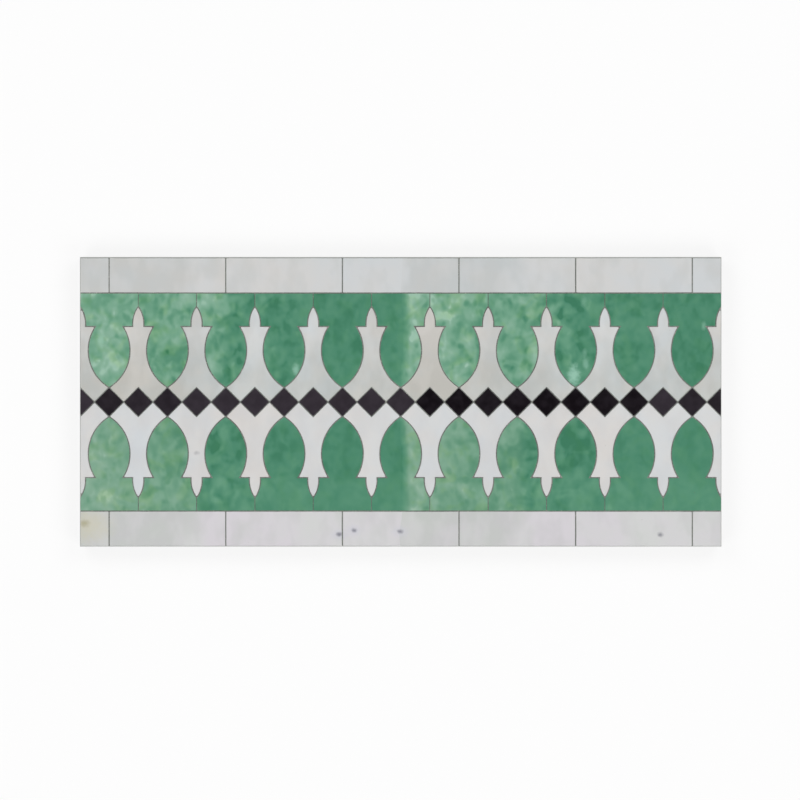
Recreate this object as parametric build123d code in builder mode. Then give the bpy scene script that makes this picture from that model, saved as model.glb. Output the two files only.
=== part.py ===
from build123d import *
import os

# Mosaic border tile: one length of hand-cut glazed tilework, set face up in a cement bed.
# X runs along the border, Y across it and Z out of the glazed face. The origin is on the
# flat back, under the middle of the diamond row. Lengths are in millimetres.

# Pattern along the border, between the middle lines of the joints
repeat = 50.0  # from one baluster to the next
repeats = 11  # whole repeats in one length
repeats_per_strip = 2  # repeats that one strip tile spans

# Pattern across the border: these rises stack up, from the diamond row to the strip course
diamond_rise = 12.5  # middle of the diamond row to a diamond's tip
waist_rise = 31.6  # diamond's tip to the narrowest part of a baluster
waist_half_width = 7.1
shoulder_rise = 20.7  # waist to the flat shoulder
shoulder_half_width = 13.2
finial_rise = 17.2  # shoulder to the finial's point
finial_half_width = 4.7
finial_bulge = 1.6  # how far a finial's side bows out from a straight line
finial_cuts = 3  # straight chisel cuts that shape each side of a finial
crown_rise = 11.5  # finial's point to the strip course
strip_height = 29.5  # a strip tile's own height

# Tiles, and the cement around them
joint = 0.9  # grout line between two tiles
tile_thickness = 11.0
joint_recess = 0.4  # how far the grout lies below the glaze
bed_thickness = 9.0  # cement behind the tiles

# Places that follow from the sizes above
length = repeats * repeat
strip_length = repeats_per_strip * repeat
diamond_half_width = repeat / 4
waist_height = diamond_rise + waist_rise
shoulder_height = waist_height + shoulder_rise
point_height = shoulder_height + finial_rise
crown_height = point_height + crown_rise
strip_middle = crown_height + joint / 2 + strip_height / 2
tiled_half_height = strip_middle + strip_height / 2
upper_edge = tiled_half_height + joint  # the upper edge carries its whole joint
lower_edge = -tiled_half_height - joint / 2  # the other edges carry half of theirs
face_height = bed_thickness + tile_thickness
glaze_plane = Plane.XY.offset(face_height)


def tile_outline(right_half):
    """A tile's face from the right half of its joints' middle lines, less half a joint all round."""
    with BuildSketch() as outline:
        with BuildLine():
            add(right_half)
            mirror(right_half, about=Plane.YZ)
        make_face()
        offset(amount=-joint / 2, kind=Kind.INTERSECTION)
    return outline.sketch


def lay_course(outline, spacing, count):
    """Lay like tiles in a row in the open sketch, and saw them off half a joint inside the ends."""
    with GridLocations(spacing, 0, count, 1):
        add(outline)
    Rectangle(length - joint, 2 * tiled_half_height, mode=Mode.INTERSECT)


# The joint between a baluster and the green tile on its right: one compass arc for the flank, from
# the toe through the waist to the shoulder, then a flat shoulder and the finial's chiselled side
with BuildLine() as flank:
    ThreePointArc(
        (repeat / 2, diamond_rise),
        (waist_half_width, waist_height),
        (shoulder_half_width, shoulder_height),
    )
    Line((shoulder_half_width, shoulder_height), (finial_half_width, shoulder_height))
    finial_side = SagittaArc(
        (finial_half_width, shoulder_height),
        (0, point_height),
        -finial_bulge,
        mode=Mode.PRIVATE,
    )
    Polyline(*[finial_side @ (cut / finial_cuts) for cut in range(finial_cuts + 1)])

# Baluster: the flank, and two toes beside a notch that straddles a diamond
with BuildLine() as baluster_half:
    add(flank.line)
    Polyline((0, diamond_rise), (diamond_half_width, 0), (repeat / 2, diamond_rise))

# Green tile: a leaf between two balusters, closed by a square block under the strip course
with BuildLine() as green_half:
    mirror(flank.line, about=Plane.YZ.offset(repeat / 4))
    Polyline((repeat / 2, point_height), (repeat / 2, crown_height), (0, crown_height))

with BuildLine() as diamond_right_half:
    Polyline((0, diamond_rise), (diamond_half_width, 0), (0, -diamond_rise))

baluster = tile_outline(baluster_half.line)
green_tile = tile_outline(green_half.line)
diamond = tile_outline(diamond_right_half.line)
with BuildSketch() as strip:
    with Locations((0, strip_middle)):
        Rectangle(strip_length - joint, strip_height)

# The diamond row, and the courses above it
with BuildPart() as black_diamond_tiles:
    with BuildSketch(glaze_plane):
        lay_course(diamond, repeat / 2, 2 * repeats + 1)
    extrude(amount=-tile_thickness)

with BuildPart() as upper_white_tiles:
    with BuildSketch(glaze_plane):
        lay_course(baluster, repeat, repeats + 1)
    extrude(amount=-tile_thickness)

with BuildPart() as upper_green_tiles:
    with BuildSketch(glaze_plane):
        lay_course(green_tile, repeat, repeats)
    extrude(amount=-tile_thickness)

with BuildPart() as top_strip_tiles:
    with BuildSketch(glaze_plane):
        lay_course(strip.sketch, strip_length, repeats)
    extrude(amount=-tile_thickness)

# The courses below the diamond row mirror those above it
with BuildPart() as lower_white_tiles:
    mirror(upper_white_tiles.part, about=Plane.XZ)

with BuildPart() as lower_green_tiles:
    mirror(upper_green_tiles.part, about=Plane.XZ)

with BuildPart() as bottom_strip_tiles:
    mirror(top_strip_tiles.part, about=Plane.XZ)

courses = {
    "top_strip_tiles": top_strip_tiles,
    "upper_green_tiles": upper_green_tiles,
    "upper_white_tiles": upper_white_tiles,
    "black_diamond_tiles": black_diamond_tiles,
    "lower_white_tiles": lower_white_tiles,
    "lower_green_tiles": lower_green_tiles,
    "bottom_strip_tiles": bottom_strip_tiles,
}

# Cement bed: backs every tile, and fills the joints to just below the glaze
with BuildPart() as grout_bed:
    with BuildSketch():
        with Locations((0, (upper_edge + lower_edge) / 2)):
            Rectangle(length, upper_edge - lower_edge)
    extrude(amount=face_height - joint_recess)
    for course in courses.values():
        add(course.part, mode=Mode.SUBTRACT)

os.makedirs("parts", exist_ok=True)
for name, piece in {"grout_bed": grout_bed, **courses}.items():
    piece.part.label = name
    export_step(piece.part, f"parts/{name}.step")
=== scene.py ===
import math
import random

import bpy
import numpy as np
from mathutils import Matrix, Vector, noise
from mathutils.geometry import delaunay_2d_cdt


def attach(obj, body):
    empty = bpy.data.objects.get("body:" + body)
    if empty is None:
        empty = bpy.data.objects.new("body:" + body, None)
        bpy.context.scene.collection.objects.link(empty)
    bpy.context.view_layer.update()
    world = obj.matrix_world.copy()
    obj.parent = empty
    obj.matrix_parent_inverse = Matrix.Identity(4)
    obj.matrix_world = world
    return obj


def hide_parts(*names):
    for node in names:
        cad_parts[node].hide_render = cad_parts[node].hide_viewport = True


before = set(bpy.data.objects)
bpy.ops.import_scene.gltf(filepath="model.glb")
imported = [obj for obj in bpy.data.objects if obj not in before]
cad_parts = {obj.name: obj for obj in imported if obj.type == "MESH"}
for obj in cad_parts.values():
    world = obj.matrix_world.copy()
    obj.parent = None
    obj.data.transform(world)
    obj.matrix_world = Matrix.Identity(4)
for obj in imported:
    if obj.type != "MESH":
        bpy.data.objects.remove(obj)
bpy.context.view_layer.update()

# One length of hand-cut glazed mosaic border, lying face up in its cement bed. X runs along the border,
# Y across it and Z out of the face. Lengths are in millimetres until a mesh is made.
MM = 0.001
SEED = 20
chance = random.Random(SEED)

# Pattern, between the middle lines of the joints, as in the solids
REPEAT = 50.0  # from one baluster to the next
REPEATS = 11
REPEATS_PER_STRIP = 2
DIAMOND_RISE = 12.5  # the rises stack up, from the diamond row to the strip course
WAIST_RISE = 31.6
WAIST_HALF_WIDTH = 7.1
SHOULDER_RISE = 20.7
SHOULDER_HALF_WIDTH = 13.2
FINIAL_RISE = 17.2
FINIAL_HALF_WIDTH = 4.7
FINIAL_BULGE = 1.6
CROWN_RISE = 11.5
STRIP_HEIGHT = 29.5
JOINT = 0.9
HALF_JOINT = JOINT / 2
DIAMOND_HALF_JOINT = 0.22  # the diamonds fill their places more tightly
GREEN_OVERLAP = 0.2  # how much closer a green tile comes to the seam with the next one
TILE_THICKNESS = 11.0
BED_THICKNESS = 9.0

# Places that follow from the sizes above
LENGTH = REPEATS * REPEAT
HALF_LENGTH = LENGTH / 2
STRIP_LENGTH = REPEATS_PER_STRIP * REPEAT
DIAMOND_HALF_WIDTH = REPEAT / 4
WAIST_HEIGHT = DIAMOND_RISE + WAIST_RISE
SHOULDER_HEIGHT = WAIST_HEIGHT + SHOULDER_RISE
POINT_HEIGHT = SHOULDER_HEIGHT + FINIAL_RISE
CROWN_HEIGHT = POINT_HEIGHT + CROWN_RISE
STRIP_TOP = CROWN_HEIGHT + JOINT + STRIP_HEIGHT
UPPER_EDGE = STRIP_TOP + HALF_JOINT  # the upper edge carries its whole joint
LOWER_EDGE = -STRIP_TOP  # the other edges carry half of theirs
MIDDLE_Y = (UPPER_EDGE + LOWER_EDGE) / 2
HALF_HEIGHT = (UPPER_EDGE - LOWER_EDGE) / 2
FACE = BED_THICKNESS + TILE_THICKNESS

# How finely the outlines and faces are drawn
OUTLINE_STEP = 1.3
FACE_STEP = 1.5
EDGE_STEP = 1.0  # along the bed's edges
BED_STEP = 3.2  # on the bed's back
BED_LEVEL_STEP = 0.9  # down the bed's sides
FACE_JITTER = 0.3  # share of a step by which a point on a face may stray
RIM_MARGIN = 0.9  # how far such points keep from the rim of a tile's face
GRID_ROW_RISE = math.sqrt(0.75)  # between the rows of a triangular grid, for a step of 1
CELLS_PER_STEP = 1.6  # cells to an outline's step; a joint has at most one point to a cell
WELD = 1e-5
TILE_SHARP = math.radians(38)
BED_SHARP = math.radians(60)

# Hand work: each tile is chiselled and set by eye
ARRIS = 0.3  # radius of a tile's worn edge
ARRIS_STEPS = 3
INSET_ROOM = 0.2  # spare room for moving an outline inwards
CORNER_RADIUS = 0.75
CORNER_ROOM = CORNER_RADIUS / 4  # between a rounded corner and the next point
CORNER_TURN = math.radians(40)  # a sharper turn counts as a corner
CORNER_STEP = math.radians(30)
CHISEL_WOBBLE = 0.07
CHISEL_WAVE = 9.0
WOBBLE_SEED_STEP = 31.0  # from the wobble along X to the wobble along Y
TILE_SEEDS = 900.0  # range of the tiles' own seeds
SHIFT = 0.05
TURN = math.radians(0.08)
TILT = math.radians(0.16)
LIPPAGE = 0.07  # how far a tile stands above or below the rest
SETTLE = 0.27  # how far the tiles settle below the face of the solids
FACE_ROOM = 0.01  # no glaze comes nearer to that face than this
UNDULATIONS = ((24.0, 0.085), (9.0, 0.03), (5.0, 0.014))  # wave and depth

# Grout
GROUT_RECESS = 0.5  # from the face of the solids to the grout beside a tile
GROUT_HOLLOW = 0.14  # how much lower the middle of a joint is
GROUT_RIM = FACE - GROUT_RECESS
GROUT_FLOOR = GROUT_RIM - GROUT_HOLLOW
GROUT_ROUGHNESS = 0.06
GROUT_RIM_WAVE = 2.5
GROUT_RIM_SEED = 5.0
GROUT_FLOOR_WAVE = 1.7
GROUT_FLOOR_SEED = 0.0
GROUT_EDGE_ROOM = JOINT / 4  # points in the joints keep this far from the bed's edge

# Cement bed
COVER = 0.36  # the least cement outside a tile
RIM_LOW_CORNER = (COVER - HALF_LENGTH, LOWER_EDGE + COVER)
RIM_HIGH_CORNER = (HALF_LENGTH - COVER, UPPER_EDGE - COVER)
BED_ARRIS = 1.1  # radius of the lower edge
BED_ARRIS_LEVELS = [BED_ARRIS / 2, BED_ARRIS / 5, 0.0]
BED_SKIN = ((11.0, 0.3), (4.0, 0.18), (1.9, 0.1))  # wave and depth
BED_WEAR = ((0.0, 1.0), (7.0, 1.0), (9.5, 0.4), (17.0, 0.4), (FACE, 0.15))  # level, share of that depth
BED_FLOAT_MARKS = ((46.0, 5.0, 0.2), (9.0, 7.0, 0.12))  # wave along X, wave along Y and depth
BED_FLOAT_SEED = 40.0
AIR_HOLES = 150
AIR_HOLE_RADIUS = (0.9, 2.2)
CHIPS = 22
CHIP_RADIUS = (1.4, 3.2)
CORNER_CLEARANCE = 8.0  # holes and chips keep this far from the bed's corners
PIT_DEPTH = 0.45  # share of a hole's or a chip's radius


def point_between(a, b, share):
    return (a[0] + (b[0] - a[0]) * share, a[1] + (b[1] - a[1]) * share)


def straight(a, b, step=OUTLINE_STEP):
    """Points from a up to, but not with, b."""
    count = max(1, round(math.dist(a, b) / step))
    return [point_between(a, b, i / count) for i in range(count)]


def arc(a, via, b):
    """Points on the circle through three points, from a up to, but not with, b."""
    via_x, via_y = via[0] - a[0], via[1] - a[1]
    end_x, end_y = b[0] - a[0], b[1] - a[1]
    via_square = via_x * via_x + via_y * via_y
    end_square = end_x * end_x + end_y * end_y
    divisor = 2 * (via_x * end_y - via_y * end_x)
    centre_x = (end_y * via_square - via_y * end_square) / divisor
    centre_y = (via_x * end_square - end_x * via_square) / divisor
    radius = math.hypot(centre_x, centre_y)
    start = math.atan2(-centre_y, -centre_x)
    middle = math.atan2(via_y - centre_y, via_x - centre_x)
    sweep = (math.atan2(end_y - centre_y, end_x - centre_x) - start) % math.tau
    if (middle - start) % math.tau > sweep:
        sweep -= math.tau
    count = max(2, round(abs(sweep) * radius / OUTLINE_STEP))
    turns = [start + sweep * i / count for i in range(count)]
    x, y = a[0] + centre_x, a[1] + centre_y
    return [(x + radius * math.cos(turn), y + radius * math.sin(turn)) for turn in turns]


def bulged(a, b, bulge):
    """Points on an arc that bows out to the right of the line from a to b."""
    middle = point_between(a, b, 0.5)
    reach = bulge / math.dist(a, b)
    via = (middle[0] + (b[1] - a[1]) * reach, middle[1] - (b[0] - a[0]) * reach)
    return arc(a, via, b)


def whole(right_half):
    """A closed outline from its right half, which runs up the middle line's right side."""
    return right_half + [(-x, y) for x, y in reversed(right_half[1:-1])]


def halved(right_half):
    """The right half alone, cut along the middle line."""
    return right_half + straight(right_half[-1], right_half[0])[1:]


def placed(outline, x):
    return [(px + x, py) for px, py in outline]


def mirrored_x(outline):
    return [(-x, y) for x, y in reversed(outline)]


def mirrored_y(outline):
    return [(x, -y) for x, y in reversed(outline)]


def rectangle(left, right, bottom, top, step=OUTLINE_STEP):
    corners = [(left, bottom), (right, bottom), (right, top), (left, top)]
    sides = zip(corners, corners[1:] + corners[:1])
    return [point for a, b in sides for point in straight(a, b, step)]


# Outlines of the tiles, along the middle lines of their joints
TOE = (REPEAT / 2, DIAMOND_RISE)
WAIST = (WAIST_HALF_WIDTH, WAIST_HEIGHT)
SHOULDER = (SHOULDER_HALF_WIDTH, SHOULDER_HEIGHT)
FINIAL_FOOT = (FINIAL_HALF_WIDTH, SHOULDER_HEIGHT)
POINT = (0.0, POINT_HEIGHT)
NOTCH = (0.0, DIAMOND_RISE)
DIAMOND_SIDE = (DIAMOND_HALF_WIDTH, 0.0)
DIAMOND_FOOT = (0.0, -DIAMOND_RISE)

flank = arc(TOE, WAIST, SHOULDER)
flank += straight(SHOULDER, FINIAL_FOOT)
flank += bulged(FINIAL_FOOT, POINT, FINIAL_BULGE)

baluster_half = straight(NOTCH, DIAMOND_SIDE) + straight(DIAMOND_SIDE, TOE) + flank + [POINT]
diamond_half = straight(DIAMOND_FOOT, DIAMOND_SIDE) + straight(DIAMOND_SIDE, NOTCH) + [NOTCH]

# Two green tiles butt tighter than the other joints
SEAM = REPEAT / 2 + GREEN_OVERLAP
BLOCK_CORNER = (SEAM, CROWN_HEIGHT)
CROWN = (0.0, CROWN_HEIGHT)
green_half = [(REPEAT / 2 - x, y) for x, y in flank]
green_half += straight((SEAM, POINT_HEIGHT), BLOCK_CORNER)
green_half += straight(BLOCK_CORNER, CROWN) + [CROWN]


def row(right_half, spacing, count):
    """Outlines along the border, with a half at each end."""
    outlines = [placed(halved(right_half), -HALF_LENGTH)]
    outlines += [placed(whole(right_half), -HALF_LENGTH + spacing * i) for i in range(1, count)]
    outlines.append(placed(mirrored_x(halved(right_half)), HALF_LENGTH))
    return outlines


balusters = row(baluster_half, REPEAT, REPEATS)
diamonds = row(diamond_half, REPEAT / 2, 2 * REPEATS)
greens = [placed(whole(green_half), REPEAT * (i - (REPEATS - 1) / 2)) for i in range(REPEATS)]
strip_ends = [STRIP_LENGTH * (i - REPEATS / 2) for i in range(REPEATS + 1)]
strip_ends = [-HALF_LENGTH] + [x for x in strip_ends if abs(x) < HALF_LENGTH] + [HALF_LENGTH]
strips = [rectangle(a, b, CROWN_HEIGHT, STRIP_TOP) for a, b in zip(strip_ends, strip_ends[1:])]
balusters_below = [mirrored_y(outline) for outline in balusters]
greens_below = [mirrored_y(outline) for outline in greens]
strips_below = [mirrored_y(outline) for outline in strips]


def inset(outline, distance):
    """The outline moved inwards, with mitred corners and as many points."""
    points = np.array(outline)
    along = np.roll(points, -1, 0) - points
    along /= np.linalg.norm(along, axis=1)[:, None]
    inward = np.stack([-along[:, 1], along[:, 0]], 1)
    before = np.roll(inward, 1, 0)
    miter = (inward + before) / (1 + (inward * before).sum(1))[:, None]
    return points + miter * distance


def turns_between(before, after):
    """The angles, to the left, from each direction to the one after it."""
    cross = before[:, 0] * after[:, 1] - before[:, 1] * after[:, 0]
    return np.arctan2(cross, (before * after).sum(1))


def thinned(outline, distance):
    """The outline less the points near its corners that would cross over when it is moved inwards."""
    points = np.array(outline)
    while True:
        moved = inset(points, distance)
        along = np.roll(points, -1, 0) - points
        moved_along = np.roll(moved, -1, 0) - moved
        crossed = np.flatnonzero((along * moved_along).sum(1) <= 0)
        if not len(crossed):
            return points
        bend = np.abs(turns_between(np.roll(along, 1, 0), along))
        first = crossed[0]
        second = (first + 1) % len(points)
        points = np.delete(points, first if bend[first] < bend[second] else second, 0)


def blunted(points):
    """The outline with its sharp outward corners rounded off."""
    into = points - np.roll(points, 1, 0)
    into /= np.linalg.norm(into, axis=1)[:, None]
    turns = turns_between(into, np.roll(into, -1, 0))
    corners = np.flatnonzero(turns > CORNER_TURN)
    cuts = CORNER_RADIUS * np.tan(turns / 2)
    rounded = []
    for i, point in enumerate(points):
        if i in corners:
            left = np.array((-into[i, 1], into[i, 0]))
            start = point - cuts[i] * into[i]
            for angle in np.linspace(0, turns[i], math.ceil(turns[i] / CORNER_STEP) + 1):
                along, across = math.sin(angle), 1 - math.cos(angle)
                rounded.append(start + CORNER_RADIUS * (along * into[i] + across * left))
        elif all(math.dist(point, points[j]) > cuts[j] + CORNER_ROOM for j in corners):
            rounded.append(point)
    return np.array(rounded)


def points_inside(outline, step, margin):
    """Points of a loose triangular grid that lie inside an outline, clear of it by a margin."""
    low, high = outline.min(0), outline.max(0)
    stray = step * FACE_JITTER
    found = []
    for i, y in enumerate(np.arange(low[1], high[1], step * GRID_ROW_RISE)):
        for x in np.arange(low[0] + (i % 2) * step / 2, high[0], step):
            found.append((x + chance.uniform(-stray, stray), y + chance.uniform(-stray, stray)))
    points = np.array(found)[:, None, :]
    start = outline[None]
    side = np.roll(outline, -1, 0)[None] - start
    end = start + side

    # How far each point is from the nearest side
    share = ((points - start) * side).sum(2) / (side * side).sum(2)
    nearest = start + np.clip(share, 0, 1)[:, :, None] * side
    gap = np.linalg.norm(points - nearest, axis=2).min(1)

    # A point is inside if a line to its right meets an odd number of sides
    spans = (start[:, :, 1] > points[:, :, 1]) != (end[:, :, 1] > points[:, :, 1])
    rise = np.where(np.abs(side[:, :, 1]) < WELD, WELD, side[:, :, 1])
    meets = start[:, :, 0] + (points[:, :, 1] - start[:, :, 1]) * side[:, :, 0] / rise
    inside = (spans & (points[:, :, 0] < meets)).sum(1) % 2 == 1
    return points[inside & (gap > margin), 0]


def rough(x, y, z, wave=1.0):
    """Smooth noise from -1 to 1, with bumps about as wide as the wave."""
    return noise.noise(Vector((x / wave, y / wave, z / wave)))


def worn_in(x, y, z, wave=1.0):
    """The same noise from 0 to 1, for a surface that wear only takes from."""
    return 0.5 + 0.5 * rough(x, y, z, wave)


class Shape:
    """The points and faces of one object, with values at its points that the materials read."""

    WHOLE_HULL, INSIDE_OUTLINES = 0, 1  # what a triangulation covers

    def __init__(self):
        self.points = []
        self.faces = []
        self.looks = []
        self.values = {"piece": [], "shade": [], "edge": []}

    def add_points(self, places, piece=0.0, shade=0.0, edge=1.0):
        """New points, all with the same values. Returns their numbers."""
        first = len(self.points)
        self.points += [tuple(place) for place in places]
        for name, value in (("piece", piece), ("shade", shade), ("edge", edge)):
            self.values[name] += [value] * (len(self.points) - first)
        return list(range(first, len(self.points)))

    def add_band(self, lower, upper, look):
        """Four-sided faces between two rings that run anticlockwise seen from above. They face outwards,
        and inwards if the lower ring is given as the upper one."""
        count = len(lower)
        for i in range(count):
            j = (i + 1) % count
            self.faces.append((lower[i], lower[j], upper[j], upper[i]))
            self.looks.append(look)

    def add_fill(self, ring, inner, look, facing_up=True):
        """Triangles inside a ring, through the inner points."""
        used = ring + inner
        flat = [Vector(self.points[i][:2]) for i in used]
        outline = list(range(len(ring)))
        made = delaunay_2d_cdt(flat, [], [outline], self.INSIDE_OUTLINES, WELD)
        self.add_triangles(made, used, look, facing_up)

    def add_surround(self, rings, rim, inner, look):
        """Triangles inside a rim and outside the rings within it, through the inner points."""
        used = [i for ring in rings for i in ring] + rim + inner
        order = {point: i for i, point in enumerate(used)}
        flat = [Vector(self.points[i][:2]) for i in used]
        holes = [[order[i] for i in ring] for ring in rings]
        sides = [(order[a], order[b]) for a, b in zip(rim, rim[1:] + rim[:1])]
        made = delaunay_2d_cdt(flat, sides, holes, self.WHOLE_HULL, WELD)
        self.add_triangles(made, used, look, outside_only=True)

    def add_triangles(self, made, used, look, facing_up=True, outside_only=False):
        """The faces of a triangulation, as faces between the used points."""
        flat, _, triangles, came_from, _, in_faces = made
        for triangle, within in zip(triangles, in_faces):
            if outside_only and within:
                continue
            a, b, c = (flat[i] for i in triangle)
            upward = (b - a).cross(c - a) > 0
            corners = [used[came_from[i][0]] for i in triangle]
            self.faces.append(tuple(corners if upward == facing_up else corners[::-1]))
            self.looks.append(look)

    def make(self, name, materials, sharp_angle):
        """A Blender object in metres, shaded smooth up to the sharp angle."""
        mesh = bpy.data.meshes.new(name)
        mesh.from_pydata([(x * MM, y * MM, z * MM) for x, y, z in self.points], [], self.faces)
        for material in materials:
            mesh.materials.append(material)
        mesh.polygons.foreach_set("material_index", self.looks)
        for value_name, values in self.values.items():
            attribute = mesh.attributes.new(value_name, "FLOAT", "POINT")
            attribute.data.foreach_set("value", values)
        mesh.polygons.foreach_set("use_smooth", [True] * len(self.faces))
        mesh.set_sharp_from_angle(angle=sharp_angle)
        mesh.validate()
        thing = bpy.data.objects.new(name, mesh)
        bpy.context.scene.collection.objects.link(thing)
        return thing


# Materials of a tile and of the bed, by their place in the object's list
GLAZE, BISCUIT = 0, 1
GROUT, CEMENT = 0, 1

# Outlines of the tiles as they are set, which the bed is made round
pockets = []


def chiselled(outline, seed):
    """An outline's middle lines with the wobble of hand cutting, turned and shifted a little."""
    points = thinned(outline, HALF_JOINT + ARRIS + INSET_ROOM)
    centre = points.mean(0)
    turn = chance.uniform(-TURN, TURN)
    shift_x, shift_y = chance.uniform(-SHIFT, SHIFT), chance.uniform(-SHIFT, SHIFT)
    cut = []
    for x, y in points:
        wave = (x / CHISEL_WAVE, y / CHISEL_WAVE)
        wobble_x = CHISEL_WOBBLE * noise.noise(Vector((*wave, seed)))
        wobble_y = CHISEL_WOBBLE * noise.noise(Vector((*wave, seed + WOBBLE_SEED_STEP)))
        cut_x = x - turn * (y - centre[1]) + shift_x + wobble_x
        cut_y = y + turn * (x - centre[0]) + shift_y + wobble_y
        cut.append((cut_x, cut_y))
    return cut, centre


def add_tile(shape, outline, shade, half_joint):
    """One glazed tile: worn arrises round an uneven face, and sides down to its back in the bed."""
    seed = chance.uniform(0, TILE_SEEDS)
    piece = chance.random()
    tilt_x, tilt_y = chance.uniform(-TILT, TILT), chance.uniform(-TILT, TILT)
    lift = chance.uniform(-LIPPAGE, LIPPAGE) - SETTLE
    lines, centre = chiselled(outline, seed)
    rim = np.clip(blunted(inset(lines, half_joint)), RIM_LOW_CORNER, RIM_HIGH_CORNER)
    pockets.append(rim)

    def face_at(x, y):
        height = FACE + lift + tilt_x * (x - centre[0]) + tilt_y * (y - centre[1])
        for wave, depth in UNDULATIONS:
            height += depth * noise.noise(Vector((x / wave, y / wave, seed + wave)))
        return min(height, FACE - FACE_ROOM)

    def add_ring(distance, drop, edge):
        flat = inset(rim, distance)
        return shape.add_points([(x, y, face_at(x, y) - drop) for x, y in flat], piece, shade, edge)

    back = shape.add_points([(x, y, BED_THICKNESS) for x, y in rim], piece, shade, edge=0.0)
    shape.add_fill(back, [], BISCUIT, facing_up=False)
    lower, look = back, BISCUIT  # the first band is the tile's side, and the rest round off the arris
    for step in range(ARRIS_STEPS + 1):
        angle = math.pi / 2 * step / ARRIS_STEPS
        distance, drop = ARRIS * (1 - math.cos(angle)), ARRIS * (1 - math.sin(angle))
        upper = add_ring(distance, drop, edge=step / ARRIS_STEPS)
        shape.add_band(lower, upper, look)
        lower, look = upper, GLAZE
    flat = points_inside(inset(rim, ARRIS), FACE_STEP, RIM_MARGIN)
    inner = shape.add_points([(x, y, face_at(x, y)) for x, y in flat], piece, shade, edge=1.0)
    shape.add_fill(lower, inner, GLAZE)


def add_grout(shape, edge, middle_lines):
    """Hollowed joints round every tile, paler towards the bed's edge. Returns the rings round the tiles
    and the rim along the edge."""
    rings = []
    for pocket in pockets:
        bumps = [GROUT_ROUGHNESS * rough(x, y, GROUT_RIM_SEED, GROUT_RIM_WAVE) for x, y in pocket]
        places = [(x, y, GROUT_RIM + bump) for (x, y), bump in zip(pocket, bumps)]
        rings.append(shape.add_points(places, edge=0.0))
    rim = shape.add_points([(x, y, GROUT_FLOOR) for x, y in edge])
    inner, taken = [], set()
    for x, y in middle_lines:
        cell = (round(x / OUTLINE_STEP * CELLS_PER_STEP), round(y / OUTLINE_STEP * CELLS_PER_STEP))
        near_edge = abs(x) > HALF_LENGTH - GROUT_EDGE_ROOM or y < LOWER_EDGE + GROUT_EDGE_ROOM
        if cell in taken or near_edge:
            continue
        taken.add(cell)
        bump = GROUT_ROUGHNESS * rough(x, y, GROUT_FLOOR_SEED, GROUT_FLOOR_WAVE)
        inner += shape.add_points([(x, y, FACE - (GROUT_RECESS + GROUT_HOLLOW + bump))])
    for i, (x, y, _) in enumerate(shape.points):
        from_edge = min(HALF_LENGTH - abs(x), UPPER_EDGE - y, y - LOWER_EDGE)
        shape.values["shade"][i] = max(0.0, 1 - from_edge / JOINT)
    shape.add_surround(rings, rim, inner, GROUT)
    return rings, rim


def add_pockets(shape, rings):
    """The seats of the tiles, under the grout's rings."""
    for ring, pocket in zip(rings, pockets):
        floor = shape.add_points([(x, y, BED_THICKNESS) for x, y in pocket], edge=0.0)
        shape.add_band(ring, floor, CEMENT)
        shape.add_fill(floor, [], CEMENT)


def add_sides(shape, edge, rim):
    """Rough sides from the rim down to a rounded lower edge. Returns the lowest ring."""
    pits = side_pits(edge)
    levels = list(np.arange(BED_ARRIS, GROUT_FLOOR - BED_LEVEL_STEP / 2, BED_LEVEL_STEP))[::-1]
    upper = rim
    for level in levels + BED_ARRIS_LEVELS:
        rounding = BED_ARRIS * max(0.0, 1 - level / BED_ARRIS) ** 2
        narrowing_x, narrowing_y = 1 - rounding / HALF_LENGTH, 1 - rounding / HALF_HEIGHT
        wear = np.interp(level, *zip(*BED_WEAR))
        worn = []
        for (x, y), pit in zip(edge, pit_depths(edge, level, pits)):
            skin = sum(deep * worn_in(x, y, level, wave) for wave, deep in BED_SKIN)
            inward = pit + wear * skin
            across = math.copysign(inward, x) if abs(x) > HALF_LENGTH - WELD else 0.0
            up = math.copysign(inward, y) if abs(y - MIDDLE_Y) > HALF_HEIGHT - WELD else 0.0
            worn.append((x * narrowing_x - across, MIDDLE_Y + (y - MIDDLE_Y) * narrowing_y - up, level))
        lower = shape.add_points(worn)
        shape.add_band(lower, upper, CEMENT)
        upper = lower
    return lower


def side_pits(edge):
    """Air holes in the sides, below the tiles, and chips along the lower edge: centre and radius."""
    end, top = HALF_LENGTH - CORNER_CLEARANCE, -LOWER_EDGE - CORNER_CLEARANCE
    clear = [(x, y) for x, y in edge if abs(x) < end or abs(y) < top]
    pits = []
    for _ in range(AIR_HOLES):
        radius = chance.uniform(*AIR_HOLE_RADIUS)
        x, y = chance.choice(clear)
        level = chance.uniform(BED_ARRIS + radius, BED_THICKNESS - radius)
        pits.append((x, y, level, radius))
    for _ in range(CHIPS):
        x, y = chance.choice(clear)
        pits.append((x, y, 0.0, chance.uniform(*CHIP_RADIUS)))
    return np.array(pits)


def pit_depths(edge, level, pits):
    """How far the pits cut into the side at each point of one level."""
    points = np.array([(x, y, level) for x, y in edge])
    centres, radii = pits[:, :3], pits[:, 3]
    away = np.linalg.norm(points[:, None] - centres[None], axis=2) / radii
    return (np.clip(1 - away**2, 0, 1) * radii * PIT_DEPTH).max(1)


def add_back(shape, ring):
    """The back, flat but for the marks of the float."""
    side, top, bottom = HALF_LENGTH - BED_STEP, UPPER_EDGE - BED_STEP, LOWER_EDGE + BED_STEP
    field = np.array([(-side, bottom), (side, bottom), (side, top), (-side, top)])
    floated = []
    for x, y in points_inside(field, BED_STEP, margin=0.0):
        relief = sum(
            deep * worn_in(x / wave_x, y / wave_y, BED_FLOAT_SEED)
            for wave_x, wave_y, deep in BED_FLOAT_MARKS
        )
        floated.append((x, y, relief))
    inner = shape.add_points(floated)
    shape.add_fill(ring, inner, CEMENT, facing_up=False)


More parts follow.
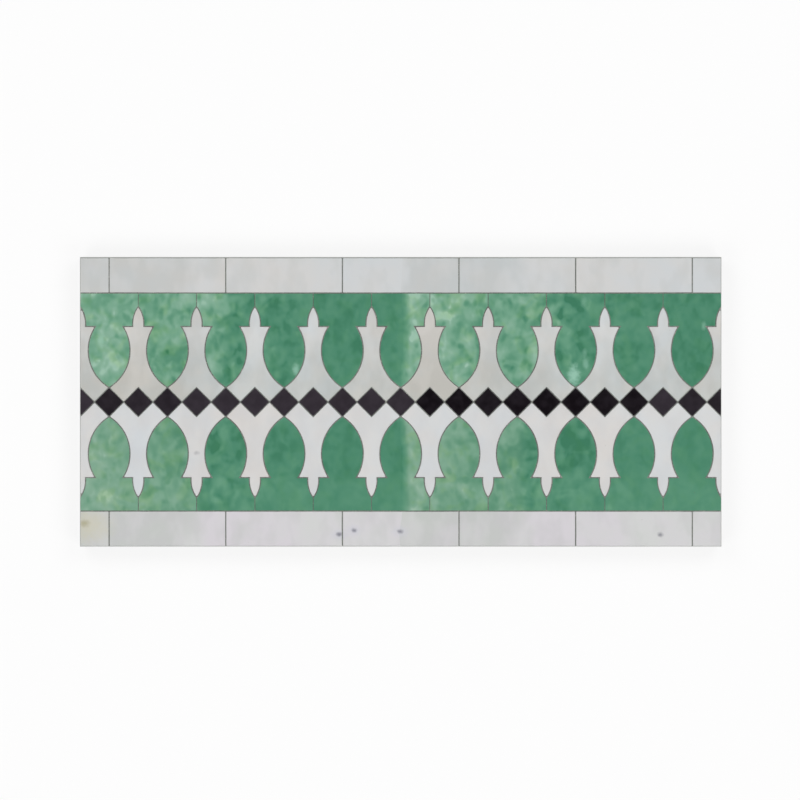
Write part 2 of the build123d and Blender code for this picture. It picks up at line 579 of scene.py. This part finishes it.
def add_bed(shape, middle_lines):
    """The cement round and under the tiles, which fills their joints as grout."""
    edge = rectangle(-HALF_LENGTH, HALF_LENGTH, LOWER_EDGE, UPPER_EDGE, EDGE_STEP)
    rings, rim = add_grout(shape, edge, middle_lines)
    add_pockets(shape, rings)
    lowest = add_sides(shape, edge, rim)
    add_back(shape, lowest)


def colour(red, green, blue):
    """A colour as it looks under plain light, from 0 to 255, along the sRGB curve."""

    def linear(value):
        value /= 255
        return value / 12.92 if value <= 0.04045 else ((value + 0.055) / 1.055) ** 2.4

    return (linear(red), linear(green), linear(blue), 1.0)


WHITE = (1.0, 1.0, 1.0, 1.0)
GREEN_TONES = (
    (0.0, colour(64, 124, 96)),
    (0.12, colour(78, 137, 110)),
    (0.35, colour(96, 151, 123)),
    (0.6, colour(117, 166, 140)),
    (0.85, colour(136, 178, 155)),
    (1.0, colour(156, 194, 174)),
)
# Pale runs in the green glaze, partly painted glints
PALE_RUN_AND_GLINT = colour(154, 199, 179)
BLACK = colour(16, 11, 16)
SLATE = colour(55, 49, 56)
GROUT_DARK = colour(94, 99, 94)
GROUT_PALE = colour(125, 129, 123)
GROUT_DRIED = colour(184, 186, 182)
CEMENT_DARK = colour(128, 126, 120)
CEMENT_PALE = colour(164, 161, 153)
# Dark sand grains, and the painted shade in the air holes
SAND_DARK_AND_HOLE_SHADE = colour(84, 82, 77)
SAND_PALE = colour(186, 182, 170)
CLAY_DARK = colour(176, 140, 108)
CLAY_PALE = colour(206, 176, 142)
SPECK_GREY = colour(118, 118, 128)
SPECK_HALO = colour(203, 203, 214)
STAIN = colour(162, 155, 118)
STAIN_HALO = colour(205, 201, 178)
PIT_BROWN = colour(112, 98, 84)

# Tints, which multiply a colour
GREEN_YELLOWING = (1.0, 1.01, 0.74, 1.0)
GREEN_GREYING = (1.0, 0.94, 0.94, 1.0)
COOL_TO_WARM = ((0.97, 1.0, 1.025, 1.0), (1.03, 0.985, 0.95, 1.0))
GREEN_TO_LILAC = ((0.985, 1.0, 0.985, 1.0), (1.015, 0.975, 1.025, 1.0))
UPPER_FOOT = (0.89, 0.9, 0.885, 1.0)

# Roughness from the smoothest to the roughest patches, relief in millimetres, and how much marks show
GLAZE_ROUGHNESS = (0.08, 0.2)
WORN_ROUGHNESS = 0.7
CLAY_ROUGHNESS = (0.8, 0.92)
CEMENT_ROUGHNESS = (0.82, 0.95)
GLAZE_RELIEF = 0.045
CLAY_RELIEF = 0.3
GROUT_RELIEF = 0.12
CEMENT_RELIEF = 0.3
FINE_RIPPLES = 0.3
PIT_STRENGTH = 0.55
CLOUD_SHARE = 0.32
GRAIN_SHARE = 0.68
DARK_SAND_STRENGTH = 0.5
PALE_SAND_STRENGTH = 0.55
# How dark the painted shade in the air holes is
HOLE_SHADE_STRENGTH = 0.7
COARSE_HEIGHT = 1.4
SAND_HEIGHT = 0.5
MOST_NOISE = (0.3, 0.7)  # between these lie most values of a cloud
WHOLE_RANGE = (0.0, 1.0)


class Nodes:
    """Builds the nodes of a material or of the world."""

    MIX_SHARE, MIX_A, MIX_B, MIX_RESULT = 0, 6, 7, 2  # sockets that mix colours

    def __init__(self, owner):
        owner.use_nodes = True
        self.tree = owner.node_tree
        self.tree.nodes.clear()

    def add(self, kind, inputs=None, **settings):
        """A node whose inputs are given by name or number, as values or as sockets to link."""
        node = self.tree.nodes.new("ShaderNode" + kind)
        for name, value in settings.items():
            setattr(node, name, value)
        for name, value in (inputs or {}).items():
            if isinstance(value, bpy.types.NodeSocket):
                self.tree.links.new(value, node.inputs[name])
            else:
                node.inputs[name].default_value = value
        return node

    def math(self, operation, a, b=0.0, c=0.0):
        return self.add("Math", {0: a, 1: b, 2: c}, operation=operation).outputs[0]

    def span(self, value, low, high, to_low=0.0, to_high=1.0):
        """A smooth step from one value to another while the input goes from low to high."""
        inputs = {"Value": value, "From Min": low, "From Max": high, "To Min": to_low, "To Max": to_high}
        return self.add("MapRange", inputs, interpolation_type="SMOOTHSTEP").outputs["Result"]

    def swing(self, value, amount, between=MOST_NOISE):
        """A smooth step from minus to plus an amount."""
        return self.span(value, *between, -amount, amount)

    def mix(self, share, a, b, blend="MIX"):
        inputs = {self.MIX_SHARE: share, self.MIX_A: a, self.MIX_B: b}
        node = self.add("Mix", inputs, data_type="RGBA", blend_type=blend)
        return node.outputs[self.MIX_RESULT]

    def ramp(self, value, stops):
        """A curve through (input, output) pairs, where the output is a number or a colour."""
        node = self.add("ValToRGB", {"Fac": value})
        elements = node.color_ramp.elements
        for place, _ in stops[1:-1]:
            elements.new(place)
        for element, (place, tone) in zip(elements, stops):
            element.position = place
            element.color = tone if isinstance(tone, tuple) else (tone, tone, tone, 1.0)
        return node.outputs["Color"]


class Finish(Nodes):
    """Builds one material of the object. Places are in millimetres."""

    PIECE_SEEDS = 211.0  # range of the tiles' own seeds
    SPOT_CORE = 0.5  # share of a spot's radius at which it has its full strength

    def __init__(self, name):
        self.material = bpy.data.materials.new(name)
        super().__init__(self.material)
        coordinates = self.add("TexCoord").outputs["Object"]
        scaled = self.add("VectorMath", {0: coordinates, "Scale": 1 / MM}, operation="SCALE")
        self.place = scaled.outputs["Vector"]
        self.piece = self.value("piece")
        self.shade = self.value("shade")
        self.edge = self.value("edge")

    def value(self, name):
        return self.add("Attribute", attribute_name=name).outputs["Fac"]

    def axis(self, name):
        return self.add("SeparateXYZ", {0: self.place}).outputs[name]

    def from_middle(self):
        """The distance across the border from the middle of the diamond row."""
        return self.math("ABSOLUTE", self.axis("Y"))

    def stretched(self, across, up):
        """Places with the pattern drawn out along an axis."""
        inputs = {0: self.place, 1: (1 / across, 1 / up, 1.0)}
        return self.add("VectorMath", inputs, operation="MULTIPLY").outputs["Vector"]

    def cloud(self, size, detail=2.0, seed=0.0, by_piece=True, place=None, distortion=0.0):
        """Noise with patches about this wide, which starts anew on each tile unless by_piece is off."""
        inputs = {
            "Vector": place or self.place,
            "Scale": 1 / size,
            "Detail": detail,
            "Distortion": distortion,
            "W": self.math("MULTIPLY_ADD", self.piece, self.PIECE_SEEDS, seed) if by_piece else seed,
        }
        return self.add("TexNoise", inputs, noise_dimensions="4D").outputs["Fac"]

    def spots(self, cell, radius, share, seed=0.0):
        """Small round marks, at most one to a cell."""
        shifted = self.add("VectorMath", {0: self.place, 1: (seed, seed, 0.0)}, operation="ADD")
        voronoi = self.add("TexVoronoi", {"Vector": shifted.outputs["Vector"], "Scale": 1 / cell})
        chosen = self.add("SeparateColor", {"Color": voronoi.outputs["Color"]}).outputs[0]
        reach = radius / cell
        near = self.span(voronoi.outputs["Distance"], reach, reach * self.SPOT_CORE)
        return self.math("MULTIPLY", near, self.math("LESS_THAN", chosen, share))

    def finish(self, base, roughness, height, relief):
        """The material, with a base colour, roughness and bumps."""
        bump = self.add("Bump", {"Height": height, "Distance": relief * MM, "Strength": 1.0})
        inputs = {"Base Color": base, "Roughness": roughness, "Normal": bump.outputs["Normal"]}
        surface = self.add("BsdfPrincipled", inputs)
        self.add("OutputMaterial", {"Surface": surface.outputs["BSDF"]})
        return self.material

    def glaze(self, base, clay_shows):
        """A glossy hand-dipped glaze over a base colour: thin on the arrises, with pits and ripples."""
        thin = self.span(self.edge, low=0.95, high=0.2)
        worn = self.math("MULTIPLY", thin, self.span(self.cloud(size=2.4), low=0.5, high=0.66))
        base = self.mix(self.math("MULTIPLY", worn, clay_shows), base, CLAY_PALE)
        pits = self.spots(cell=11.0, radius=0.34, share=0.4, seed=3.0)
        base = self.mix(self.math("MULTIPLY", pits, PIT_STRENGTH), base, PIT_BROWN)
        gloss = self.span(self.cloud(size=13.0, detail=3.0, seed=5.0), *MOST_NOISE, *GLAZE_ROUGHNESS)
        roughness = self.math("MAXIMUM", gloss, self.math("MULTIPLY", worn, WORN_ROUGHNESS))
        broad = self.cloud(size=5.5, detail=1.0, seed=9.0)
        fine = self.math("MULTIPLY", self.cloud(size=1.8, detail=1.0, seed=12.0), FINE_RIPPLES)
        height = self.math("SUBTRACT", self.math("ADD", broad, fine), pits)
        return self.finish(base, roughness, height, GLAZE_RELIEF)


# The tiles come from two firings, laid side by side, and the glazes drift in the same way through both
FIRING_START = -280.5
FIRING_LENGTH = 281.0
FIRING_DRIFT = 10.0  # how far the border of a firing wavers
FIRING_WAVE = 30.0


def through_firing(nodes):
    """From 0 to 1 through each firing, from left to right, with a wavy border."""
    wave = nodes.cloud(FIRING_WAVE, detail=1.0, seed=2.0, by_piece=False)
    drift = nodes.math("MULTIPLY", wave, FIRING_DRIFT)
    from_start = nodes.math("SUBTRACT", nodes.axis("X"), FIRING_START + FIRING_DRIFT / 2)
    along = nodes.math("ADD", from_start, drift)
    return nodes.math("FRACT", nodes.math("DIVIDE", along, FIRING_LENGTH))


# Marks in the glazes are ragged, and drawn out along one axis
SPECK_STRETCH = (1.35, 1.0)
# The pale runs, partly painted glints, are drawn out upwards
RUN_AND_GLINT_STRETCH = (1.0, 1.8)
MARK_GRAIN = 2.6
MARK_REACH = 1.9  # where a mark fades out, for a radius of 1
MARK_CORE = 0.6  # where it has its full strength


def marked(nodes, base, marks, stretch):
    """The base colour with marks on it, each with its place, radius, strength and colour."""
    for x, y, radius, strength, tone in marks:
        centre = (x / stretch[0], y / stretch[1], FACE)
        away = nodes.add("VectorMath", {0: nodes.stretched(*stretch), 1: centre}, operation="DISTANCE")
        grain = nodes.math("MULTIPLY", nodes.cloud(MARK_GRAIN), radius)
        ragged = nodes.math("ADD", away.outputs["Value"], grain)
        share = nodes.span(ragged, radius * MARK_REACH, radius * MARK_CORE, to_high=strength)
        base = nodes.mix(share, base, tone)
    return base


def white_glaze(name, dull, pale, paleness, tints, tinge, drift, foot=None, marks=()):
    """Off-white glaze, whose paleness and tinge follow the firing and drift a little within each tile,
    with iron specks where they show. A foot tint darkens the glaze towards the diamond row."""
    nodes = Finish(name)
    along = through_firing(nodes)
    smudged = nodes.cloud(size=15.0, seed=60.0, place=nodes.stretched(across=1.0, up=1.6))
    smudges = nodes.swing(smudged, amount=0.4, between=(0.28, 0.72))
    base = nodes.mix(nodes.math("ADD", nodes.ramp(along, paleness), smudges), dull, pale)
    if foot:
        share = nodes.span(nodes.from_middle(), DIAMOND_RISE, SHOULDER_HEIGHT)
        base = nodes.mix(share, nodes.mix(1.0, base, foot, "MULTIPLY"), base)
    own = nodes.swing(nodes.shade, drift / 2, WHOLE_RANGE)
    within = nodes.swing(nodes.cloud(size=22.0), drift, between=(0.25, 0.75))
    share = nodes.math("ADD", nodes.ramp(along, tinge), nodes.math("ADD", own, within))
    base = nodes.mix(1.0, base, nodes.mix(share, *tints), "MULTIPLY")
    return nodes.glaze(marked(nodes, base, marks, SPECK_STRETCH), clay_shows=0.15)


# Green glaze is pale and watery at the start of a firing. From the middle on it is deep, and settles to
# an even coat. The lower course turns deep sooner. Pairs are a place in the firing and a tone or a share
UPPER_TONES = (
    (0.0, 0.1),
    (0.015, 0.45),
    (0.025, 0.84),
    (0.13, 0.7),
    (0.25, 0.46),
    (0.42, 0.62),
    (0.49, 0.16),
    (1.0, 0.12),
)
LOWER_TONES = (
    (0.0, 0.1),
    (0.015, 0.4),
    (0.025, 0.72),
    (0.13, 0.62),
    (0.26, 0.42),
    (0.35, 0.45),
    (0.4, 0.15),
    (1.0, 0.12),
)
UNSETTLED = ((0.0, 0.5), (0.04, 1.0), (0.45, 1.0), (0.58, 0.64), (0.75, 0.36), (1.0, 0.32))
WATERY_TONES = (0.12, 0.55)
OWN_TONE = 0.03  # how far a tile's own tone is from the rest
CROWN_BLEND = 8.0  # how far above and below the shoulders the leaves blend into the blocks


def green_glaze(name, firing_tones, mottling, crown_lift, greyness, runs_and_glints=()):
    """Green glaze, mottled until it settles, with soft pale glints and dark blots. It is a little paler
    on the blocks beside the strip course, and greyer where it is watery."""
    nodes = Finish(name)
    along = through_firing(nodes)
    own = nodes.swing(nodes.shade, OWN_TONE, WHOLE_RANGE)
    tone = nodes.math("ADD", nodes.ramp(along, firing_tones), own)
    watery = nodes.span(tone, *WATERY_TONES)
    leaf, block = SHOULDER_HEIGHT - CROWN_BLEND, SHOULDER_HEIGHT + CROWN_BLEND
    tone = nodes.math("ADD", tone, nodes.span(nodes.from_middle(), leaf, block, to_high=crown_lift))

    drawn_out = nodes.stretched(across=1.0, up=1.3)
    broad = nodes.swing(nodes.cloud(size=15.0, detail=1.0, seed=4.0, distortion=0.8), amount=0.2)
    fine = nodes.swing(nodes.cloud(size=7.5, detail=1.0, seed=8.0, place=drawn_out), amount=0.14)
    blots = nodes.cloud(size=6.5, detail=0.0, seed=17.0, place=drawn_out)
    blots = nodes.math("MULTIPLY", nodes.span(blots, low=0.62, high=0.86, to_high=0.32), watery)
    glints = nodes.cloud(size=8.0, detail=1.5, seed=14.0, place=nodes.stretched(across=1.0, up=1.4))
    glints = nodes.span(glints, low=0.6, high=0.86, to_high=0.4)
    mottle = nodes.math("ADD", nodes.math("ADD", broad, fine), nodes.math("SUBTRACT", glints, blots))
    strength = nodes.math("MULTIPLY", nodes.ramp(along, UNSETTLED), mottling)
    tone = nodes.math("ADD", tone, nodes.math("MULTIPLY", mottle, strength))

    base = nodes.ramp(tone, GREEN_TONES)
    yellowed = nodes.cloud(size=13.0, detail=1.0, seed=21.0, distortion=0.6)
    yellowed = nodes.span(yellowed, low=0.46, high=0.7)
    yellow = nodes.math("MULTIPLY", yellowed, nodes.span(watery, *WHOLE_RANGE, to_low=0.24, to_high=0.6))
    base = nodes.mix(yellow, base, GREEN_YELLOWING, "MULTIPLY")
    base = nodes.mix(nodes.math("MULTIPLY", watery, greyness), base, GREEN_GREYING, "MULTIPLY")
    # The pale runs are partly painted glints
    return nodes.glaze(marked(nodes, base, runs_and_glints, RUN_AND_GLINT_STRETCH), clay_shows=0.1)


def black_glaze(name):
    """Black glaze, which fired to slate on some tiles, and is a little clouded."""
    nodes = Finish(name)
    clouded = nodes.math("ADD", nodes.shade, nodes.swing(nodes.cloud(size=7.0), amount=0.12))
    return nodes.glaze(nodes.mix(clouded, BLACK, SLATE), clay_shows=0.1)


def sandy(name, dark, pale, relief, dried=None):
    """Sand and cement: clouded, with grains of several sizes and small air holes, darkened with painted
    shade. A dried colour shows where the mesh has shade, on the joints along the outer edges."""
    nodes = Finish(name)
    clouds = nodes.cloud(size=34.0, detail=5.0, by_piece=False, place=nodes.stretched(across=1.8, up=1.0))
    grains = nodes.cloud(size=0.9, seed=3.0, by_piece=False)
    cloudy = nodes.math("MULTIPLY", clouds, CLOUD_SHARE)
    mixed = nodes.math("ADD", cloudy, nodes.math("MULTIPLY", grains, GRAIN_SHARE))
    base = nodes.mix(nodes.span(mixed, low=0.36, high=0.64), dark, pale)
    dark_sand = nodes.spots(cell=2.3, radius=0.62, share=0.5, seed=11.0)
    base = nodes.mix(nodes.math("MULTIPLY", dark_sand, DARK_SAND_STRENGTH), base, SAND_DARK_AND_HOLE_SHADE)
    pale_sand = nodes.spots(cell=2.0, radius=0.56, share=0.5, seed=23.0)
    base = nodes.mix(nodes.math("MULTIPLY", pale_sand, PALE_SAND_STRENGTH), base, SAND_PALE)
    # The air holes are dented in the bump and darkened with painted shade
    holes = nodes.spots(cell=6.0, radius=0.6, share=0.35)
    base = nodes.mix(nodes.math("MULTIPLY", holes, HOLE_SHADE_STRENGTH), base, SAND_DARK_AND_HOLE_SHADE)
    if dried:
        base = nodes.mix(nodes.shade, base, dried)
    coarse = nodes.cloud(size=2.6, detail=3.0, seed=7.0, by_piece=False)
    lumps = nodes.math("ADD", grains, nodes.math("MULTIPLY", coarse, COARSE_HEIGHT))
    sand = nodes.math("MULTIPLY", nodes.math("ADD", dark_sand, pale_sand), SAND_HEIGHT)
    height = nodes.math("ADD", lumps, nodes.math("SUBTRACT", sand, holes))
    roughness = nodes.span(clouds, *MOST_NOISE, *CEMENT_ROUGHNESS)
    return nodes.finish(base, roughness, height, relief)


def clay(name):
    """The fired clay of the tiles' sides, with chisel marks."""
    nodes = Finish(name)
    grains = nodes.cloud(size=1.1, detail=3.0)
    base = nodes.mix(nodes.span(grains, low=0.35, high=0.65), CLAY_DARK, CLAY_PALE)
    chisel_marks = nodes.cloud(size=1.6, seed=6.0, place=nodes.stretched(across=1.0, up=3.0))
    roughness = nodes.span(grains, *MOST_NOISE, *CLAY_ROUGHNESS)
    return nodes.finish(base, roughness, nodes.math("ADD", grains, chisel_marks), CLAY_RELIEF)


# Iron specks, a stain and pale runs in the green, partly painted glints: place, radius, strength and
# colour
STRIP_MARKS = (
    (-52.9, -113.4, 5.0, 0.5, SPECK_HALO),
    (-52.9, -113.4, 1.9, 0.8, SPECK_GREY),
    (-40.0, -110.0, 5.0, 0.5, SPECK_HALO),
    (-40.0, -110.0, 1.9, 0.8, SPECK_GREY),
    (-0.6, -111.0, 5.0, 0.5, SPECK_HALO),
    (-0.6, -111.0, 2.1, 0.8, SPECK_GREY),
    (222.6, -113.6, 2.1, 0.75, SPECK_GREY),
    (-268.0, -106.0, 15.0, 0.6, STAIN_HALO),
    (-271.0, -104.0, 3.4, 0.6, STAIN),
)
LOWER_MARKS = ((-175.0, -43.6, 2.0, 0.4, SPECK_GREY),)
# Pale runs in the upper green glaze, which are partly painted glints
UPPER_RUNS_AND_GLINTS = (
    (148.4, 22.6, 5.4, 0.9, PALE_RUN_AND_GLINT),
    (158.8, 33.0, 3.0, 0.45, PALE_RUN_AND_GLINT),
    (157.6, 42.0, 2.4, 0.25, PALE_RUN_AND_GLINT),
    (157.1, 86.2, 2.8, 0.25, PALE_RUN_AND_GLINT),
    (-89.8, 28.0, 3.1, 0.65, PALE_RUN_AND_GLINT),
    (-257.2, 53.2, 3.4, 0.55, PALE_RUN_AND_GLINT),
    (259.8, 65.4, 2.2, 0.38, PALE_RUN_AND_GLINT),
)

# How pale a course of white tiles is through a firing, and how far it goes from one tint to the other
TOP_PALENESS = ((0.0, 0.45), (0.1, 0.1), (0.28, 0.08), (0.4, 0.65), (0.72, 1.0), (1.0, 0.85))
TOP_TINGE = ((0.0, 0.42), (0.2, 0.34), (0.4, 0.4), (0.55, 0.64), (0.8, 0.32), (1.0, 0.36))
UPPER_PALENESS = (
    (0.0, 0.25),
    (0.1, 0.05),
    (0.2, 0.27),
    (0.34, 0.12),
    (0.56, 0.95),
    (0.75, 0.45),
    (1.0, 0.35),
)
UPPER_TINGE = (
    (0.0, 0.75),
    (0.12, 1.0),
    (0.32, 0.58),
    (0.45, 0.22),
    (0.56, 0.12),
    (0.8, 0.3),
    (1.0, 0.5),
)
LOWER_PALENESS = ((0.0, 0.5), (0.4, 0.45), (0.8, 0.5), (0.92, 0.9), (1.0, 0.6))
LOWER_TINGE = ((0.0, 0.45), (0.2, 0.2), (0.34, 0.45), (0.5, 0.85), (0.7, 0.48), (1.0, 0.36))
BOTTOM_PALENESS = ((0.0, 0.2), (0.28, 0.1), (0.41, 0.95), (0.5, 0.75), (0.58, 1.0), (1.0, 0.9))
BOTTOM_TINGE = (
    (0.0, 0.0),
    (0.12, 0.25),
    (0.35, 0.3),
    (0.42, 0.9),
    (0.66, 0.8),
    (0.72, 0.35),
    (1.0, 0.35),
)

top_white = white_glaze(
    "top_white_glaze",
    dull=colour(198, 200, 199),
    pale=colour(210, 211, 211),
    paleness=TOP_PALENESS,
    tints=COOL_TO_WARM,
    tinge=TOP_TINGE,
    drift=0.2,
)
bottom_white = white_glaze(
    "bottom_white_glaze",
    dull=colour(199, 201, 199),
    pale=colour(213, 213, 213),
    paleness=BOTTOM_PALENESS,
    tints=GREEN_TO_LILAC,
    tinge=BOTTOM_TINGE,
    drift=0.3,
    marks=STRIP_MARKS,
)
upper_white = white_glaze(
    "upper_white_glaze",
    dull=colour(199, 200, 198),
    pale=colour(214, 215, 214),
    paleness=UPPER_PALENESS,
    tints=COOL_TO_WARM,
    tinge=UPPER_TINGE,
    drift=0.35,
    foot=UPPER_FOOT,
)
lower_white = white_glaze(
    "lower_white_glaze",
    dull=colour(209, 210, 211),
    pale=colour(216, 217, 217),
    paleness=LOWER_PALENESS,
    tints=COOL_TO_WARM,
    tinge=LOWER_TINGE,
    drift=0.26,
    marks=LOWER_MARKS,
)
upper_green = green_glaze(
    "upper_green_glaze",
    firing_tones=UPPER_TONES,
    mottling=1.05,
    crown_lift=0.0,
    greyness=0.2,
    runs_and_glints=UPPER_RUNS_AND_GLINTS,
)
lower_green = green_glaze(
    "lower_green_glaze",
    firing_tones=LOWER_TONES,
    mottling=0.7,
    crown_lift=0.08,
    greyness=1.0,
)
black = black_glaze("black_glaze")
biscuit = clay("biscuit")
grout = sandy("grout", GROUT_DARK, GROUT_PALE, GROUT_RELIEF, dried=GROUT_DRIED)
cement = sandy("cement", CEMENT_DARK, CEMENT_PALE, CEMENT_RELIEF)

# How far the black diamonds fired to slate: each run ends at an X
SLATE_RUNS = ((-265.0, 0.95), (-190.0, 0.5), (10.0, 0.85), (215.0, 0.12), (235.0, 0.95), (LENGTH, 0.5))
SLATE_SPREAD = 0.08


def any_shade(outline):
    """A tile's own shade, wherever the tile lies."""
    return chance.random()


def slate_share(outline):
    """A diamond's shade, which follows the run that it lies in."""
    x = sum(point[0] for point in outline) / len(outline)
    share = next(share for end, share in SLATE_RUNS if x < end)
    return share + chance.uniform(-SLATE_SPREAD, SLATE_SPREAD)


def settle(thing, node):
    """Puts a piece in the place of a node of the solids."""
    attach(thing, "root")
    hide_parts(node)


# Each course: the node, its outlines, glaze and slot, and what gives a tile its shade
courses = (
    ("top_strip_tiles", strips, top_white, "white_glaze", any_shade),
    ("upper_green_tiles", greens, upper_green, "green_glaze", any_shade),
    ("upper_white_tiles", balusters, upper_white, "white_glaze", any_shade),
    ("black_diamond_tiles", diamonds, black, "black_glaze", slate_share),
    ("lower_white_tiles", balusters_below, lower_white, "white_glaze", any_shade),
    ("lower_green_tiles", greens_below, lower_green, "green_glaze", any_shade),
    ("bottom_strip_tiles", strips_below, bottom_white, "white_glaze", any_shade),
)
middle_lines = []
for node, outlines, glaze, slot, shade_of in courses:
    half_joint = DIAMOND_HALF_JOINT if outlines is diamonds else HALF_JOINT
    shape = Shape()
    for outline in outlines:
        add_tile(shape, outline, shade_of(outline), half_joint)
        middle_lines += outline
    settle(shape.make(node + "_glazed", [glaze, biscuit], TILE_SHARP), node)

bed = Shape()
add_bed(bed, middle_lines)
settle(bed.make("cement_bed", [grout, cement], BED_SHARP), "grout_bed")


def seen_or_mirrored(nodes):
    """1 for what the camera sees itself, and 1 for what it sees in or through a glossy surface."""
    path = nodes.add("LightPath").outputs
    mirrored = nodes.math("MAXIMUM", path["Is Glossy Ray"], path["Is Transmission Ray"])
    return path["Is Camera Ray"], mirrored


# Pale floor, which keeps the object's soft shadow
FLOOR_SIZE = 12.0
FLOOR_GREY = (0.9, 0.9, 0.9, 1.0)
FLOOR_SHADE = 0.18
bpy.ops.mesh.primitive_plane_add(size=FLOOR_SIZE)
floor = bpy.context.object
floor.name = "floor"
floor_material = bpy.data.materials.new("floor")
floor_nodes = Nodes(floor_material)
lit = floor_nodes.add("BsdfDiffuse", {"Color": FLOOR_GREY}).outputs["BSDF"]
white = floor_nodes.add("Emission", {"Color": WHITE, "Strength": 1.0}).outputs["Emission"]
seen = floor_nodes.math("MAXIMUM", *seen_or_mirrored(floor_nodes))
share = floor_nodes.math("MULTIPLY", seen, 1 - FLOOR_SHADE)
blended = floor_nodes.add("MixShader", {0: share, 1: lit, 2: white}).outputs["Shader"]
floor_nodes.add("OutputMaterial", {"Surface": blended})
floor.data.materials.append(floor_material)

# Soft lamps round the object, none of them overhead, so the glaze mirrors no lamp at the camera
LAMPS = 4
LAMP_POWER = 12.7
LAMP_SIZE = 1.1
LAMP_DISTANCE = 1.3
LAMP_HEIGHT = 1.3
for i in range(LAMPS):
    angle = math.tau * (i + 0.5) / LAMPS
    lamp = bpy.data.lights.new(f"lamp_{i}", "AREA")
    lamp.energy = LAMP_POWER
    lamp.size = LAMP_SIZE
    stand = bpy.data.objects.new(f"lamp_{i}", lamp)
    stand.location = (LAMP_DISTANCE * math.cos(angle), LAMP_DISTANCE * math.sin(angle), LAMP_HEIGHT)
    stand.rotation_euler = (-stand.location).to_track_quat("-Z", "Y").to_euler()
    stand.visible_camera = False
    bpy.context.scene.collection.objects.link(stand)

# A dim room with a white backdrop all round, which the glaze mirrors at low angles
ROOM_LIGHT = 0.05
BACKDROP_SHEEN = 0.6
BACKDROP_FOOT = math.sin(math.radians(8))
BACKDROP_TOP = math.sin(math.radians(40))
world = bpy.data.worlds.new("room")
bpy.context.scene.world = world
room = Nodes(world)
seen, mirrored = seen_or_mirrored(room)
upward = room.add("SeparateXYZ", {0: room.add("TexCoord").outputs["Generated"]}).outputs["Z"]
backdrop = room.span(upward, BACKDROP_TOP, BACKDROP_FOOT, to_high=BACKDROP_SHEEN)
strength = room.math("MAXIMUM", room.math("MULTIPLY", mirrored, backdrop), ROOM_LIGHT)
strength = room.math("MAXIMUM", strength, seen)
background = room.add("Background", {"Color": WHITE, "Strength": strength}).outputs["Background"]
room.add("OutputWorld", {"Surface": background})

# Straight down on the face, framed as in the photograph
CAMERA_AT = (-0.6, 1.75)
CAMERA_DISTANCE = 2500.0
VIEW_WIDTH = 685.8
SENSOR_WIDTH = 36.0
camera_data = bpy.data.cameras.new("camera")
camera_data.sensor_width = SENSOR_WIDTH
camera_data.lens = SENSOR_WIDTH * CAMERA_DISTANCE / VIEW_WIDTH
camera = bpy.data.objects.new("camera", camera_data)
camera.location = (CAMERA_AT[0] * MM, CAMERA_AT[1] * MM, (FACE + CAMERA_DISTANCE) * MM)
bpy.context.scene.collection.objects.link(camera)
bpy.context.scene.camera = camera
bpy.context.scene.view_settings.view_transform = "Standard"
